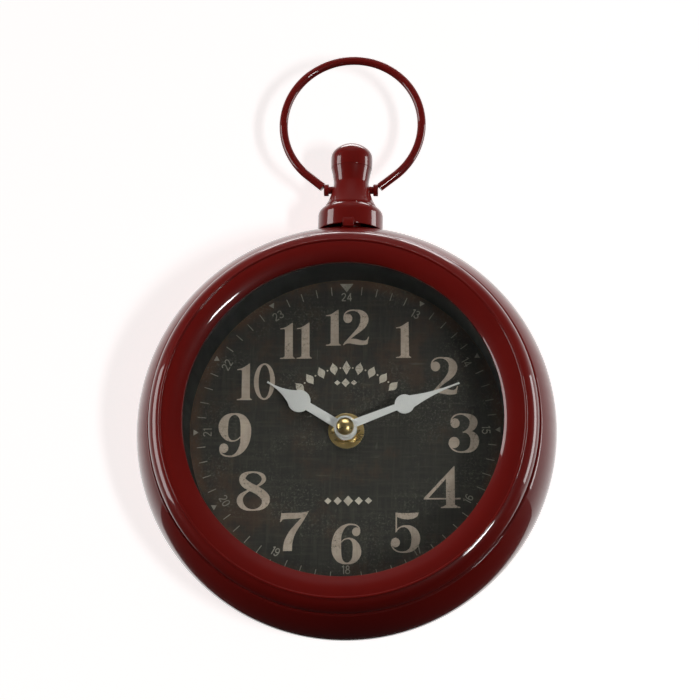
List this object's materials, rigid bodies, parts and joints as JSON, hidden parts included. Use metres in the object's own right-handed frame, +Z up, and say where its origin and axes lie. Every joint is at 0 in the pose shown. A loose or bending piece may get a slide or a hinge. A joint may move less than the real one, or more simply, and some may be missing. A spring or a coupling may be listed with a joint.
{
  "type": "wall clock",
  "caption": "Round pocket-watch-style wall clock: bulging enamelled steel case, glazed bezel, printed dial, spade hands, stem with swinging bow, battery movement.",
  "frame": {"origin": "on the dial's axis in the plane of the wall that the clock hangs on", "axes": "+Z up towards the bow, the face looks along -Y, +X to the reader's right"},
  "size_m": [0.2, 0.06, 0.2912],
  "materials": {
    "red_enamel": "high-gloss dark red enamel on steel",
    "clear_glass": "clear flat glass",
    "seal_rubber": "matte",
    "rim_black": "matte black paint",
    "hardboard": "pressed fibre board",
    "dial_paper": "printed paper, aged charcoal with beige numerals",
    "bright_steel": "zinc-plated",
    "polished_brass": "polished",
    "hand_white": "satin off-white paint on aluminium",
    "back_paint": "satin black paint",
    "movement_plastic": "fine-textured moulding",
    "wheel_plastic": "natural acetal",
    "magnet": "nickel-plated magnet",
    "soft_iron": "plain laminations",
    "copper": "enamelled copper wire",
    "board_laminate": "phenolic laminate",
    "chip_resin": "black resin",
    "cell_sleeve": "plain printed sleeve",
    "bumper_rubber": "soft"
  },
  "bodies": {
    "clock_case": {"case_shell": "red_enamel", "front_bezel": "red_enamel", "stem_base": "red_enamel", "stem_neck": "red_enamel", "top_knob": "red_enamel", "glass_lens": "clear_glass", "lens_gasket": "seal_rubber", "cushion_washer": "seal_rubber", "inner_rim": "rim_black", "dial_board": "hardboard", "dial_print": "dial_paper", "dial_screws": "bright_steel", "stem_bolt": "bright_steel", "stem_saddles": "bright_steel", "cover_screws": "bright_steel", "back_ledge": "bright_steel", "battery_contact_pos": "bright_steel", "battery_contact_neg": "bright_steel", "quartz_can": "bright_steel", "brass_washer": "polished_brass", "hex_nut": "polished_brass", "centre_bush": "polished_brass", "back_cover": "back_paint", "movement_front_shell": "movement_plastic", "movement_rear_shell": "movement_plastic", "coil_bobbin": "movement_plastic", "stator": "soft_iron", "coil_winding": "copper", "circuit_board": "board_laminate", "driver_chip": "chip_resin", "battery": "cell_sleeve", "wall_bumpers": "bumper_rubber"},
    "bow_ring": {"bow": "red_enamel", "bow_pin": "red_enamel"},
    "minute_works": {"minute_arbor": "polished_brass", "clutch_spring": "bright_steel", "minute_hand": "hand_white", "cap_nut": "polished_brass"},
    "hour_works": {"hour_wheel": "wheel_plastic", "hour_hand": "hand_white"},
    "motion_works": {"motion_wheel": "wheel_plastic"},
    "setting_works": {"setting_knob": "movement_plastic"},
    "centre_works": {"centre_wheel": "wheel_plastic"},
    "third_works": {"third_wheel": "wheel_plastic"},
    "second_works": {"second_wheel": "wheel_plastic"},
    "intermediate_works": {"intermediate_wheel": "wheel_plastic"},
    "rotor_works": {"rotor": "wheel_plastic", "rotor_magnet": "magnet"}
  },
  "joints": [
    {"name": "bow_swing", "type": "hinge", "parent": "clock_case", "child": "bow_ring", "pos_m": [0, -0.027, 0.12071], "axis": [1, 0, 0], "range_deg": [-20, 130]},
    {"name": "minute_turn", "type": "hinge", "parent": "clock_case", "child": "minute_works", "pos_m": [0, -0.02, 0], "axis": [0, 1, 0], "continuous": true},
    {"name": "hour_turn", "type": "hinge", "parent": "clock_case", "child": "hour_works", "pos_m": [0, -0.02, 0], "axis": [0, 1, 0], "continuous": true},
    {"name": "motion_turn", "type": "hinge", "parent": "clock_case", "child": "motion_works", "pos_m": [-0.00752, -0.02, 0.00274], "axis": [0, 1, 0], "continuous": true},
    {"name": "setting_turn", "type": "hinge", "parent": "clock_case", "child": "setting_works", "pos_m": [-0.01552, -0.02, 0.00274], "axis": [0, 1, 0], "continuous": true},
    {"name": "second_turn", "type": "hinge", "parent": "clock_case", "child": "second_works", "pos_m": [0.01699, -0.02, 0.01061], "axis": [0, 1, 0], "continuous": true},
    {"name": "rotor_turn", "type": "hinge", "parent": "clock_case", "child": "rotor_works", "pos_m": [0, -0.02, 0.01439], "axis": [0, 1, 0], "continuous": true},
    {"name": "intermediate_turn", "type": "hinge", "parent": "clock_case", "child": "intermediate_works", "pos_m": [0.00747, -0.02, 0.01505], "axis": [0, 1, 0], "continuous": true},
    {"name": "third_turn", "type": "hinge", "parent": "clock_case", "child": "third_works", "pos_m": [0.01043, -0.02, 0.0028], "axis": [0, 1, 0], "continuous": true},
    {"name": "centre_turn", "type": "hinge", "parent": "clock_case", "child": "centre_works", "pos_m": [0, -0.02, 0], "axis": [0, 1, 0], "continuous": true}
  ],
  "couplings": [
    {"joint": "motion_turn", "follows": "minute_turn", "ratio": -0.33333},
    {"joint": "hour_turn", "follows": "minute_turn", "ratio": 0.083333},
    {"joint": "setting_turn", "follows": "minute_turn", "ratio": 1},
    {"joint": "intermediate_turn", "follows": "second_turn", "ratio": -6},
    {"joint": "rotor_turn", "follows": "second_turn", "ratio": 30},
    {"joint": "third_turn", "follows": "second_turn", "ratio": -0.13333},
    {"joint": "centre_turn", "follows": "second_turn", "ratio": 0.016667}
  ]
}
